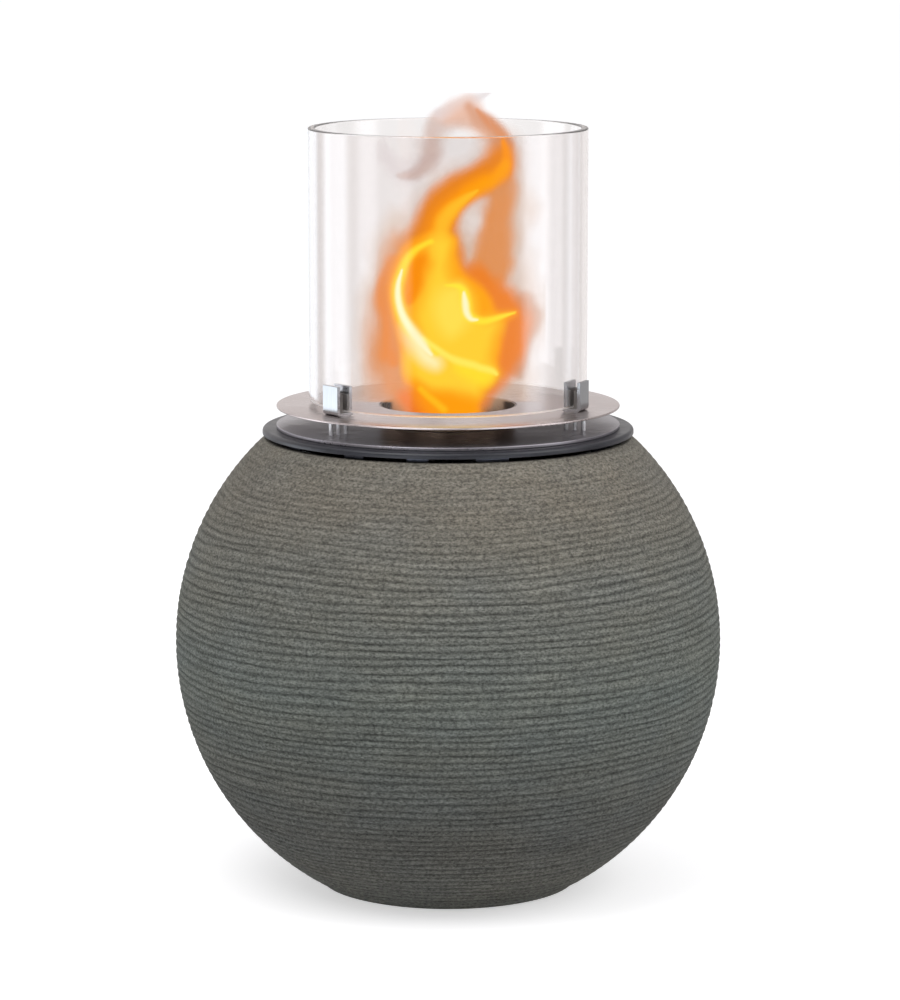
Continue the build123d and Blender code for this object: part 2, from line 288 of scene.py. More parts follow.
def steel(name, colour, roughness, stretch, wear=0.08, metal=1.0):
    """Brushed or rolled stainless steel. The brushing runs along the axis with the least stretch."""
    material, tree, output, place = finish_of(name)
    lines = noise(tree, place, 900, detail=3, rough=0.7, stretch=stretch)
    smear = noise(tree, place, 16, detail=3, rough=0.6)
    brushed = spread(tree, lines, 0.3, 0.7, -wear, wear)
    dull = maths(tree, "ADD", brushed, spread(tree, smear, 0.3, 0.7, -wear, wear))
    rough = maths(tree, "ADD", dull, roughness, clamp=True)
    tint = shaded(tree, colour, spread(tree, lines, 0.25, 0.75, 0.90, 1.06))
    normal = bump(tree, lines, 0.05 * MM, 0.35)
    principled(tree, output, {"Base Color": tint, "Metallic": metal, "Roughness": rough, "Normal": normal})
    return material


def powder_coat():
    """Anthracite satin powder coat with a fine orange peel."""
    material, tree, output, place = finish_of("anthracite_powder_coat")
    peel = noise(tree, place, 700, detail=2)
    dust = noise(tree, place, 40, detail=4, rough=0.7)
    colour = blend(tree, spread(tree, dust, 0.35, 0.7, 0, 1), srgb(27, 28, 35), srgb(39, 39, 47))
    rough = spread(tree, dust, 0.3, 0.7, 0.30, 0.42)
    principled(tree, output, {"Base Color": colour, "Metallic": 0.15, "Roughness": rough,
                              "Normal": bump(tree, peel, 0.12 * MM, 0.5)})
    return material


def rubber(name, colour):
    """Matte rubber or silicone with a soft mould grain."""
    material, tree, output, place = finish_of(name)
    grain = noise(tree, place, 1200, detail=2)
    shade = spread(tree, noise(tree, place, 90, detail=3), 0.3, 0.7, 0.8, 1.25)
    principled(tree, output, {"Base Color": shaded(tree, colour, shade), "Roughness": 0.6,
                              "Normal": bump(tree, grain, 0.1 * MM, 0.5)})
    return material


def ceramic_felt():
    """White ceramic-fibre wick, singed in patches."""
    material, tree, output, place = finish_of("ceramic_wick")
    fibres = noise(tree, place, 420, detail=5, rough=0.75, stretch=(1, 2.5, 1))
    burnt = noise(tree, place, 45, detail=3)
    clean = blend(tree, spread(tree, fibres, 0.3, 0.7, 0, 1), srgb(150, 143, 132), srgb(214, 208, 198))
    colour = blend(tree, spread(tree, burnt, 0.42, 0.68, 0, 0.75), clean, srgb(70, 62, 54))
    principled(tree, output, {"Base Color": colour, "Roughness": 0.95,
                              "Normal": bump(tree, fibres, 0.8 * MM, 0.9)})
    return material


def clear_glass():
    """Clear tube glass with ground ends. Shadow and diffuse rays pass straight through it."""
    material, tree, output, place = finish_of("tube_glass")
    haze = spread(tree, noise(tree, place, 22, detail=3), 0.4, 0.75, 0.0, 0.015)
    bottom, top = low("glass_cylinder"), high("glass_cylinder")
    up = node(tree, "SeparateXYZ", {0: place}).outputs[2]
    upper_cut = spread(tree, up, top - glass_round, top - 0.5 * glass_round, 0, upper_dullness)
    lower_cut = spread(tree, up, bottom + 0.5 * glass_round, bottom + glass_round, lower_dullness, 0)
    rough = maths(tree, "ADD", haze, maths(tree, "ADD", upper_cut, lower_cut))
    glass = node(tree, "BsdfPrincipled", {"Base Color": (0.938, 0.910, 0.905, 1), "Roughness": rough,
                                          "IOR": 1.47, "Transmission Weight": 1.0})
    path = node(tree, "LightPath")
    past = maths(tree, "MAXIMUM", path.outputs["Is Shadow Ray"], path.outputs["Is Diffuse Ray"])
    open_glass = node(tree, "BsdfTransparent", {"Color": (0.97, 0.965, 0.965, 1)})
    mixed = node(tree, "MixShader", {0: past, 1: glass.outputs[0], 2: open_glass.outputs[0]})
    surface(tree, output, mixed)
    return material


# Meshes

def mesh_piece(name, points, faces, material, sharp=30):
    """A smooth-shaded piece with edges kept sharp above an angle in degrees."""
    mesh = bpy.data.meshes.new(name)
    mesh.from_pydata(points, [], faces)
    mesh.update()
    mesh.shade_smooth()
    mesh.set_sharp_from_angle(angle=radians(sharp))
    mesh.materials.append(material)
    piece = bpy.data.objects.new(name, mesh)
    bpy.context.scene.collection.objects.link(piece)
    return piece


def flat_shaded(piece):
    """Shades the large faces of a piece flat up to its small rounds."""
    piece.modifiers.new("flat_shading", "WEIGHTED_NORMAL").keep_sharp = True
    return piece


def rounded(corners, steps=5):
    """Closed outline through corners (x, y, radius), each rounded by its radius."""
    outline = []
    for index, (x, y, radius) in enumerate(corners):
        corner = Vector((x, y))
        if not radius:
            outline.append(corner)
            continue
        back = (Vector(corners[index - 1][:2]) - corner).normalized()
        ahead = (Vector(corners[(index + 1) % len(corners)][:2]) - corner).normalized()
        half = back.angle(ahead) / 2
        middle = corner + (back + ahead).normalized() * radius / sin(half)
        start = corner + back * radius / tan(half) - middle
        end = corner + ahead * radius / tan(half) - middle
        ways = [start.lerp(end, step / steps).normalized() for step in range(steps + 1)]
        outline += [middle + way * radius for way in ways]
    return outline


def turned(name, outline, material, columns=turned_columns):
    """A closed outline of (radius, height), turned about the axis."""
    turns = np.arange(columns) * 2 * pi / columns
    profile = np.array([tuple(point) for point in outline])
    points = np.empty((columns, len(profile), 3))
    points[..., 0] = np.cos(turns)[:, None] * profile[None, :, 0]
    points[..., 1] = np.sin(turns)[:, None] * profile[None, :, 0]
    points[..., 2] = profile[None, :, 1]
    faces = []
    rows = len(profile)
    for column in range(columns):
        here = column * rows
        beside = (column + 1) % columns * rows
        for row in range(rows):
            above = (row + 1) % rows
            faces.append((here + row, beside + row, beside + above, here + above))
    return flat_shaded(mesh_piece(name, points.reshape(-1, 3), faces, material))


def dress(piece, body, slot, *replaced):
    """A piece rides on a body and stands for nodes of the frame. The slot is not used."""
    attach(piece, body)
    if replaced:
        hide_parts(*replaced)
    return piece


# Ball

def arc_radius(inset, rise):
    """Radius of an arc that starts upright and leans in by an inset over a rise."""
    return (inset**2 + rise**2) / (2 * inset)


def lattice(rng, across, along, columns, rows):
    """Smooth noise from 0 to 1 on a grid of random values that closes round the ball."""
    grid = rng.random((rows + 3, columns))
    column = across * columns
    row = along * rows
    left = np.floor(column).astype(int)
    below = np.floor(row).astype(int)
    right_share = column - left
    upper_share = row - below
    right_share = right_share**2 * (3 - 2 * right_share)
    upper_share = upper_share**2 * (3 - 2 * upper_share)
    left, right = left % columns, (left + 1) % columns
    lower = grid[below, left] * (1 - right_share) + grid[below, right] * right_share
    upper = grid[below + 1, left] * (1 - right_share) + grid[below + 1, right] * right_share
    return lower * (1 - upper_share) + upper * upper_share


def comb_wander(across, along):
    """How far the comb's lines stray at a place, in lines."""
    rng = np.random.default_rng(wander_seed)
    tilt = 0.7 * np.sin(2 * pi * (across + 0.1)) + 0.3 * np.sin(4 * pi * across + 1.0)
    drift = 1.3 * (lattice(rng, across, along, 8, 10) - 0.5)
    drift = drift + 0.45 * (lattice(rng, across, along, 24, 60) - 0.5)
    return tilt + drift + 0.17 * (lattice(rng, across, along, 150, 150) - 0.5)


def comb_rows(length):
    """Rows of the combed side: how far up each point lies, its height in the comb, both as shares, and how
    much of the combing it takes."""
    count = int(length / comb_pitch)
    phases = np.array([line + share for line in range(count) for share in comb_shares] + [count])
    turns = np.arange(ball_columns) / ball_columns
    across = np.repeat(turns[None, :], len(phases), 0)
    even = np.repeat(phases[:, None] / count, ball_columns, 1)
    along = even

    # Each pass takes the straying at the places that the pass before it found
    for _ in range(comb_passes):
        calm = np.clip(np.minimum(along, 1 - along) * length / comb_fade, 0, 1)
        along = np.clip(even - calm * comb_wander(across, along) / count, 0, 1)
    along[0], along[-1] = 0, 1
    within = np.abs(2 * (phases % 1) - 1)[:, None]

    # Grooves are shallower in large patches and broken in small ones
    rng = np.random.default_rng(patch_seed)
    below_end = even * 0.999
    strength = 0.76 + 0.24 * np.clip(lattice(rng, across, below_end, 20, 90) * 2 - 0.3, 0, 1)
    strength = strength * (0.72 + 0.6 * lattice(rng, across, below_end, 160, 120)).clip(0, 1)
    strength = strength * np.interp(even, calm_shares, (1, calm_strength))
    comb = 1 - strength * np.exp(-((1 - within) / groove_share)**2)
    return along, comb, calm


def ball(material):
    """Combed shell with its rebate, neck, cone, hollow, floor and hollow foot."""
    radius, base_z, mouth_z = reach("ball_shell"), low("ball_shell"), high("ball_shell")
    upper = arc_radius(radius - mouth_radius, mouth_z - ball_centre_z)
    lower = arc_radius(radius - foot_radius, ball_centre_z - base_z)

    def hollow(start, end, big, count):
        """Points of the hollow's oval between two angles."""
        angles = np.linspace(start, end, count)
        across = radius - big + (big - ball_wall) * np.cos(angles)
        return np.stack([across, ball_centre_z + (big - ball_wall) * np.sin(angles)], -1)

    lower_angle = np.arcsin((ball_centre_z - base_z - foot_round) / lower)
    upper_angle = np.arcsin((mouth_z - mouth_round * 0.6 - ball_centre_z) / upper)
    lower_length, upper_length = lower_angle * lower, upper_angle * upper
    length = lower_length + upper_length
    shares, comb, calm = comb_rows(length)
    run = shares * length - lower_length
    big = np.where(run < 0, lower, upper)
    angles = run / big
    sand = np.random.default_rng(sand_seed).random(comb.shape) - 0.5
    offset = calm * ((comb - comb_level) * comb_depth + sand * comb_sand)
    out_radius = radius - big + (big + offset) * np.cos(angles)
    out_height = ball_centre_z + (big + offset) * np.sin(angles)
    comb = 1 - calm * (1 - comb)
    combed = np.stack([out_radius[:, 0], out_height[:, 0]], -1)

    # The rest of the outline: the mouth's round, the ledge, the neck, the hollow and the foot
    last = combed[-1]
    rim = [(last[0] - mouth_round * 0.45, mouth_z - mouth_round * 0.12), (last[0] - mouth_round, mouth_z)]
    cone_out = radius - ball_wall
    cone_drop = (cone_out - neck_radius) * tan(radians(neck_angle))
    cone_z = neck_z - cone_drop * cone_share
    inside_top = np.arcsin(np.clip((cone_z - ball_centre_z) / (upper - ball_wall), -1, 1))
    inside_low = -np.arcsin((ball_centre_z - floor_z) / (lower - ball_wall))
    inner_up = hollow(inside_top, 0, upper, upper_hollow_rows)
    inner_down = hollow(0, inside_low, lower, lower_hollow_rows)
    tail = [*rim, (ledge_radius + ledge_round, mouth_z), (ledge_radius, mouth_z - ledge_round),
            (ledge_radius, ledge_z), (neck_radius, ledge_z), (neck_radius, neck_z), *inner_up,
            *inner_down[1:], (0, floor_z)]
    first = combed[0]
    head = [(0, foot_recess_z), (foot_ring_radius, foot_recess_z), (foot_ring_radius, base_z),
            (first[0] - foot_round * 1.6, base_z),
            (first[0] - foot_round * 0.5, base_z + foot_round * 0.35)]

    plain_head = np.array(head)[:, :, None] * np.ones(ball_columns)
    plain_tail = np.array([tuple(point) for point in tail])[:, :, None] * np.ones(ball_columns)
    radii = np.concatenate([plain_head[:, 0], out_radius, plain_tail[:, 0]])
    heights = np.concatenate([plain_head[:, 1], out_height, plain_tail[:, 1]])
    turn = np.arange(ball_columns) / ball_columns * 2 * pi + pi / 2
    rows = len(radii)
    points = np.stack([radii * np.cos(turn), radii * np.sin(turn), heights], -1)[1:-1].reshape(-1, 3)
    points = np.concatenate([points, [[0, 0, foot_recess_z], [0, 0, floor_z]]])
    row_of = np.arange(rows - 3)[:, None] * ball_columns
    here = np.arange(ball_columns)[None, :]
    beside = (here + 1) % ball_columns
    quads = np.stack([row_of + here, row_of + beside, row_of + ball_columns + beside,
                      row_of + ball_columns + here], -1).reshape(-1, 4)
    bottom, top = len(points) - 2, len(points) - 1
    last_row = (rows - 3) * ball_columns
    caps = [(bottom, (column + 1) % ball_columns, column) for column in range(ball_columns)]
    caps += [(top, last_row + column, last_row + (column + 1) % ball_columns)
             for column in range(ball_columns)]
    piece = mesh_piece("ball", points.tolist(), quads.tolist() + caps, material, sharp=50)

    # The comb's height also goes to the colour, as painted shade in the grooves
    tones = np.ones((rows - 2, ball_columns))
    tones[len(head) - 1:len(head) - 1 + len(combed)] = comb
    attribute = piece.data.attributes.new("comb", "FLOAT", "POINT")
    attribute.data.foreach_set("value", np.concatenate([tones.ravel(), [1, 1]]).astype(np.float32))
    return dress(piece, "ball", "ball", "ball_shell")


# Discs, collar and cup

def collar(material):
    outside, top, bottom = reach("collar_plate"), high("collar_plate"), low("collar_plate")
    inside, under, edge = outside - collar_thickness, top - collar_thickness, collar_edge
    outline = rounded([
        (collar_bore, under, edge), (inside, under, collar_bend - collar_thickness), (inside, bottom, edge),
        (outside, bottom, edge), (outside, top, collar_bend), (collar_bore, top, edge),
    ])
    return dress(turned("collar", outline, material), "insert", "anthracite", "collar_plate")


def disc(name, node_name, bore, edge, material):
    outside, top, bottom = reach(node_name), high(node_name), low(node_name)
    outline = rounded([(bore, bottom, edge), (outside, bottom, edge),
                       (outside, top, edge), (bore, top, edge)])
    return dress(turned(name, outline, material), "insert", "disc", node_name)


def burner_cup(material):
    """Drawn cup with a flange in the base disc and a collar up through the top disc."""
    top, bottom, seat = high("fuel_cup"), low("fuel_cup"), high("base_disc")
    outer, inner = cup_radius, cup_radius - cup_thickness
    rim, rim_inner, edge = reach("fuel_cup"), reach("fuel_cup") - cup_thickness, cup_edge
    outline = rounded([
        (0, bottom, 0), (outer, bottom, cup_bend), (outer, seat, 0), (rim, seat, edge), (rim, top, edge),
        (rim_inner, top, edge), (rim_inner, seat + cup_thickness, 0), (inner, seat + cup_thickness, edge),
        (inner, bottom + cup_thickness, cup_bend - cup_thickness), (0, bottom + cup_thickness, 0),
    ])
    return dress(turned("burner_cup", outline, material), "burner", "cup", "fuel_cup")


def glass_tube(material):
    outside, top, bottom = reach("glass_cylinder"), high("glass_cylinder"), low("glass_cylinder")
    inside = outside - glass_wall
    outline = rounded([(inside, bottom, glass_round), (outside, bottom, glass_round),
                       (outside, top, glass_round), (inside, top, glass_round)], steps=6)
    tube = turned("glass_tube", outline, material, columns=glass_columns)
    return dress(tube, "glass", "glass", "glass_cylinder")


def clip(side, angle, material):
    """Folded saddle with rounded bends and broken edges."""
    bottom, top = low(f"clip_{side}"), high(f"clip_{side}")
    half, inner = clip_depth / 2, clip_depth / 2 - clip_thickness
    tight, wide = clip_bend - clip_thickness / 2, clip_bend + clip_thickness / 2
    height = top - bottom
    outline = rounded([
        (-half, height, 0), (-half, 0, wide), (half, 0, wide), (half, height, 0), (inner, height, 0),
        (inner, clip_thickness, tight), (-inner, clip_thickness, tight), (-inner, height, 0),
    ])
    shape = bmesh.new()
    corners = [shape.verts.new((point.x, -clip_width / 2, point.y)) for point in outline]
    face = shape.faces.new(corners)
    swept = bmesh.ops.extrude_face_region(shape, geom=[face])
    moved = [item for item in swept["geom"] if isinstance(item, bmesh.types.BMVert)]
    bmesh.ops.translate(shape, verts=moved, vec=(0, clip_width, 0))
    bmesh.ops.recalc_face_normals(shape, faces=shape.faces[:])
    sharp = [edge for edge in shape.edges if edge.calc_face_angle(0) > radians(50)]
    bmesh.ops.bevel(shape, geom=sharp, offset=clip_edge, segments=2, profile=0.5, affect="EDGES")
    mesh = bpy.data.meshes.new(f"saddle_{side}")
    turn = radians(angle)
    for vertex in shape.verts:
        out, along, up = vertex.co
        out += clip_radius
        vertex.co = (out * cos(turn) - along * sin(turn), out * sin(turn) + along * cos(turn), bottom + up)
    shape.to_mesh(mesh)
    shape.free()
    mesh.shade_smooth()
    mesh.set_sharp_from_angle(angle=radians(40))
    mesh.materials.append(material)
    piece = bpy.data.objects.new(f"saddle_{side}", mesh)
    bpy.context.scene.collection.objects.link(piece)
    return dress(flat_shaded(piece), "insert", "clip", f"clip_{side}")


# Flame. It is drawn upright, across and up, in millimetres, as areas and lines of glowing gas.
flame_root = 326.0
flame_top = 576.0
flame_step = 1.0
flame_half_width = 70.0
cup_bore = 42.0
cup_top = 354.0
cup_margin = 2.0

# How the flame's cover fades: over a multiple of an area's softness, how fast into a line, and over how
# many millimetres beside the cup's wall and above the root. Cover below the last of these is left out.
edge_spread = 1.6
line_gain = 1.1
wall_fade = 4.0
root_fade = 8.0
faintest = 0.01

# How the drawn flame is stirred: the width that the stirring repeats over, and its strengths
stir_width = 180.0
wide_stir, fine_stir, stir_lift = 9, 4, 10

# The three sheets: half the gap between front and back, how far the back bulges beside the front, and how
# much narrower the flame is from the side, where it also thins out over a depth behind the back
sheet_gap = 1.5
back_share = 0.7
side_squeeze = 1.15
side_thinning = 0.55
thinning_depth = 10.0
front_seed, back_seed, side_seed = 21, 34, 47

# How the flame bulges: from how far outside its areas, how much, and how far in its edge is rounded. The
# sheets also sway and ripple, by a depth and over a width and a height.
bulge_margin, bulge_share, bulge_knee = 3, 0.62, 8
sway_depth, sway_height = 4, 34
ripple_depth, ripple_width, ripple_height = 2, 19, 27

# How much more the rays spread inside the glass than the camera alone spreads them
glass_bend = 1.58

# Middle of the flame, up and across
flame_middle = [
    (326, -2), (360, 0), (400, 1), (430, -3), (455, -8), (475, -4), (490, 0), (505, 16), (520, 34),
    (540, 36), (576, 18),
]

# Areas, as outlines of (across, up)
haze_area = [
    (-48, 352), (-61, 375), (-63, 400), (-60, 425), (-53, 450), (-46, 470), (-39, 485), (-34, 487),
    (-29, 474), (0, 474), (24, 476), (34, 500), (50, 512), (54, 480), (54, 455), (61, 435), (65, 415),
    (61, 395), (52, 372), (43, 352),
]
left_area = [
    (-46, 352), (-54, 372), (-55, 395), (-51, 420), (-46, 442), (-41, 462), (-34, 472), (-20, 460),
    (-20, 352),
]
streak_area = [
    (18, 444), (19, 458), (24, 478), (29, 498), (26, 506), (36, 514), (45, 518), (48, 500), (45, 480),
    (45, 462), (48, 452), (40, 440),
]
right_area = [
    (4, 462), (12, 453), (22, 450), (34, 447), (44, 437), (54, 426), (58, 412), (55, 398), (50, 385),
    (44, 374), (37, 365), (30, 359), (24, 350), (10, 346), (0, 400),
]
root_area = [(-36, 355), (-28, 362), (-16, 364), (0, 352), (-4, 340), (-26, 344)]
tongue_area = [
    (-31, 458), (-28, 472), (-23, 485), (-17, 497), (-8, 507), (4, 515), (15, 520), (25, 528), (30, 536),
    (36, 541), (43, 538), (46.5, 530), (45, 521), (38, 512.5), (28, 506.5), (18, 500), (9, 491), (5, 480),
    (7, 468), (4, 450),
]
tip_area = [
    (28, 534), (24, 544), (16, 551), (6, 554), (-3, 556), (0, 564), (9, 570), (16, 572), (22, 564),
    (29, 556), (38, 547), (43, 536),
]
core_area = [
    (-20, 475), (-30, 467), (-37, 456), (-40.5, 443), (-41.5, 430), (-39.5, 418), (-36, 404), (-33, 388),
    (-31, 371), (-26, 366), (-18, 360), (-10, 354), (-3, 348), (0, 336), (18, 336), (21, 350), (24, 358),
    (29, 366), (35, 373), (35.5, 378), (37, 390), (39, 402), (41.5, 412), (49, 419.5), (36, 421),
    (31, 430), (25, 437), (14, 445), (9, 452), (6, 462), (5, 473), (-8, 477),
]
yellow_area = [
    (-13, 470), (-10, 455), (-14, 445), (-20, 430), (-24, 415), (-21, 402), (-29, 388), (-26, 372),
    (-12, 364), (6, 363), (20, 357), (25, 365), (34, 374), (30, 386), (33, 400), (37, 413), (20, 418),
    (17, 430), (10, 438), (2, 445), (0, 460), (0, 472),
]
pale_area = [(-6, 436), (8, 438), (12, 426), (14, 414), (4, 404), (-6, 408), (-11, 422)]
glare_area = [
    (-31, 411), (-24, 404), (-15, 394), (-6, 386), (-8, 380), (-18, 383), (-25, 391), (-30, 401),
]
fold_area = [(6, 384), (22, 381), (34, 376), (27, 366), (20, 368), (8, 376)]
foot_area = [(-28, 366), (-10, 363), (10, 360), (21, 353), (20, 334), (-6, 334)]
pall_area = [(-9, 556), (-2, 563), (8, 568), (20, 570), (23, 565), (12, 558)]

# Lines, as points of (across, up, radius)
left_glow = [(-38, 455, 8), (-43, 436, 11), (-44, 418, 12), (-42, 402, 11), (-38, 385, 9)]
right_fringe = [(50, 535, 5), (51, 510, 6), (50, 485, 6), (49, 462, 7)]
right_blush = [(57, 427, 8), (60, 413, 9), (55, 396, 9), (47, 376, 9)]
tip_line = [(40, 532, 10), (37.5, 541, 11), (31, 550, 11), (22, 558, 9), (14, 565, 6)]
tip_edge = [(43, 534, 5), (41, 541, 6), (35, 549, 6), (27, 557, 5), (20, 564, 2)]
tongue_glow = [
    (-10, 464, 13), (-8, 478, 13), (-2, 490, 12), (8, 500, 11), (20, 508, 11), (32, 515, 10),
    (40, 523, 9), (42, 532, 7), (39, 541, 4),
]
tongue_hot = [(-7, 462, 9), (-6, 474, 9), (-3, 485, 8.5), (4, 494, 7), (13, 500.5, 4.5), (22, 506, 1.5)]
tongue_warm = [(2, 492, 8), (12, 501, 8), (24, 508.5, 8), (35, 516, 8), (41, 526, 6)]
ember_line = [(-19, 458, 9), (-22, 448, 11), (-26, 437, 9), (-28, 428, 5)]
rim_glow = [
    (-12, 471, 3), (-22, 466, 4), (-29.5, 457, 5), (-33.5, 447, 6), (-36, 436, 6.5), (-35, 425, 7),
    (-31, 413, 7), (-25, 404, 7), (-17, 396, 6), (-8, 391, 4),
]
rim_hot = [
    (-33, 450, 1), (-35.5, 440, 2.6), (-35.5, 429, 3.6), (-32.5, 418, 4), (-27, 407.5, 5), (-20, 398, 6),
    (-12, 390, 2),
]
fold_line = [
    (-18, 401, 3), (-8, 394.5, 3.5), (0, 389.5, 4), (10, 384.5, 4.5), (21, 381, 4.5), (31, 377.5, 4),
    (35, 374.5, 2),
]
flick_glow = [
    (-2, 440, 1), (6, 439, 3), (11, 435, 5), (12.5, 427, 6), (14, 418.5, 6), (21, 415, 5), (30, 415.5, 4),
    (39, 417.5, 3), (48, 419.4, 1),
]
flick_hot = [(11, 434, 1.5), (12, 427, 3.6), (13.2, 420, 3.6), (16.5, 415.5, 2.6), (21, 415.5, 1)]
root_streak = [(-20, 363, 4), (-11, 356, 5), (-4, 349, 5)]
smoke_line = [
    (22, 555, 8), (11, 558, 10), (1, 557, 11), (-7, 552, 12), (-11, 543, 12), (-12, 533, 12),
    (-16, 524, 10), (-24, 519, 7), (-32, 520, 3),
]
smoke_arc = [(-47, 541, 3), (-44, 531, 10), (-36, 524, 14), (-25, 522, 13), (-14, 528, 9)]
wisp_line = [(-6, 560, 6), (4, 565, 7), (13, 569, 7), (22, 573, 5), (31, 576, 2)]

# From the lowest layer to the highest: shape, softness of an area's edge or None for a line, colour as it
# is seen, cover, and share of the stirring
flame_layers = [
    (smoke_arc, None, (204, 190, 192), 0.2, 0.8), (smoke_line, None, (192, 162, 150), 0.48, 0.7),
    (pall_area, 7, (224, 196, 186), 0.45, 0.4), (wisp_line, None, (214, 204, 204), 0.5, 0.3),
    (haze_area, 20, (208, 172, 142), 0.40, 1.5), (left_area, 15, (222, 140, 76), 0.74, 1),
    (left_glow, None, (232, 130, 24), 0.66, 1), (right_fringe, None, (212, 184, 164), 0.22, 1),
    (streak_area, 7, (222, 142, 76), 0.80, 0.7), (right_blush, None, (192, 132, 92), 0.5, 1),
    (right_area, 9, (236, 128, 30), 0.9, 0.8), (root_area, 7, (240, 116, 4), 0.7, 0.5),
    (tip_area, 9, (224, 172, 142), 0.45, 0.5), (tip_line, None, (204, 150, 122), 0.75, 0.4),
    (tip_edge, None, (208, 130, 80), 0.55, 0.4), (tongue_area, 22, (200, 150, 112), 0.5, 0.5),
    (tongue_area, 9, (230, 132, 26), 0.96, 0.5), (tongue_glow, None, (252, 150, 0), 0.85, 0.3),
    (core_area, 5, (255, 166, 22), 1, 0.25), (tongue_warm, None, (255, 170, 8), 0.5, 0.3),
    (tongue_hot, None, (255, 194, 44), 0.8, 0.3), (yellow_area, 10, (255, 210, 54), 0.95, 0.4),
    (pale_area, 10, (255, 226, 84), 0.85, 0.4), (ember_line, None, (246, 138, 0), 0.85, 0.5),
    (foot_area, 9, (255, 156, 0), 0.85, 0.5), (root_streak, None, (255, 196, 30), 0.7, 0.3),
    (fold_area, 7, (255, 228, 48), 0.75, 0.2), (glare_area, 9, (255, 248, 196), 0.85, 0.2),
    (rim_glow, None, (255, 222, 50), 0.9, 0.1), (fold_line, None, (255, 238, 100), 0.8, 0.1),
    (rim_hot, None, (255, 252, 214), 0.85, 0.1), (flick_glow, None, (255, 234, 60), 0.85, 0.1),
    (flick_hot, None, (255, 252, 214), 0.85, 0.1),
]


def smooth_line(points, steps=5, closed=False):
    """Points on a smooth line through the given ones."""
    ends = [points[-1], *points, points[0], points[1]] if closed else [points[0], *points, points[-1]]
    ends = np.array(ends, float)
    line = []
    for first, second, third, fourth in zip(ends, ends[1:], ends[2:], ends[3:]):
        for share in np.arange(steps) / steps:
            line.append(0.5 * (2 * second + (third - first) * share
                               + (2 * first - 5 * second + 4 * third - fourth) * share**2
                               + (3 * second - first - 3 * third + fourth) * share**3))
    return np.array(line if closed else [*line, points[-1]])


def gap_to(across, up, start, end):
    """Distance of places to a stretch, and how far along it the nearest point lies."""
    run, rise = end[0] - start[0], end[1] - start[1]
    share = np.clip(((across - start[0]) * run + (up - start[1]) * rise) / (run**2 + rise**2 + 1e-9), 0, 1)
    return np.hypot(across - start[0] - share * run, up - start[1] - share * rise), share


def eased(value):
    value = np.clip(value, 0, 1)
    return value * value * (3 - 2 * value)


def line_cover(across, up, points):
    """1 along the middle of a soft line, and 0 from its radius outwards."""
    line = smooth_line(points)
    near = np.zeros_like(across)
    for start, end in zip(line, line[1:]):
        gap, share = gap_to(across, up, start, end)
        near = np.maximum(near, 1 - gap / np.maximum(start[2] + share * (end[2] - start[2]), 0.1))
    return eased(near * line_gain)


def depth_inside(across, up, outline):
    """Distance of places to a smooth closed outline, more than 0 inside it and less outside."""
    line = smooth_line(outline, closed=True)
    nearest = np.full(across.shape, 1e3)
    inside = np.zeros(across.shape, bool)
    for start, end in zip(line, np.roll(line, -1, axis=0)):
        nearest = np.minimum(nearest, gap_to(across, up, start, end)[0])
        crossed = (start[1] > up) != (end[1] > up)
        turn = start[0] + (up - start[1]) / (end[1] - start[1] + 1e-9) * (end[0] - start[0])
        inside ^= crossed & (across < turn)
    return np.where(inside, nearest, -nearest)


def painted(across, up, seed):
    """Colours and cover of the flame at places across and up."""
    rng = np.random.default_rng(seed)
    share_across = ((across + stir_width / 2) / stir_width) % 1
    share_up = np.clip((up - flame_root) / (flame_top - flame_root), 0, 1)
    stir = wide_stir * (lattice(rng, share_across, share_up, 13, 12) - 0.5)
    stir = stir + fine_stir * (lattice(rng, share_across, share_up, 30, 22) - 0.5)
    lift = stir_lift * (lattice(rng, share_across, share_up, 16, 8) - 0.5)
    colours = np.zeros((*across.shape, 3))
    cover = np.zeros(across.shape)
    for shape, softness, tone, strength, stirred in flame_layers:
        x, z = across + stirred * stir, up + stirred * lift
        if softness is None:
            share = strength * line_cover(x, z, shape)
        else:
            share = strength * eased(0.5 + depth_inside(x, z, shape) / softness / edge_spread)
        total = share + cover * (1 - share)
        shift = np.where(total > 0, share / np.maximum(total, 1e-6), 0)[..., None]
        colours = colours + shift * (np.array(srgb(*tone)[:3]) - colours)
        cover = total
    return colours, cover


def flame_depth(across, up):
    """Half the flame's thickness at places across and up."""
    solid_areas = (core_area, tongue_area, right_area)
    inside = np.maximum.reduce([depth_inside(across, up, area) for area in solid_areas])
    inside = np.clip(inside + bulge_margin, 0, None)
    depth = bulge_share * np.sqrt(inside * (inside + bulge_knee))
    room = np.sqrt(np.clip(cup_bore**2 - across**2, 0, None))
    return np.where(up < cup_top + cup_margin, np.minimum(depth, room), depth)


def flame_material():
    """Glow whose colour and cover are carried by the mesh."""
    material, tree, output, _ = finish_of("flame_glow")
    tone = node(tree, "Attribute", attribute_name="glow").outputs["Color"]
    cover = node(tree, "Attribute", attribute_name="cover").outputs["Fac"]
    glow = node(tree, "Emission", {"Color": tone, "Strength": flame_strength})
    clear = node(tree, "BsdfTransparent")
    mixed = node(tree, "MixShader", {0: cover, 1: clear.outputs[0], 2: glow.outputs[0]})
    surface(tree, output, mixed)
    return material


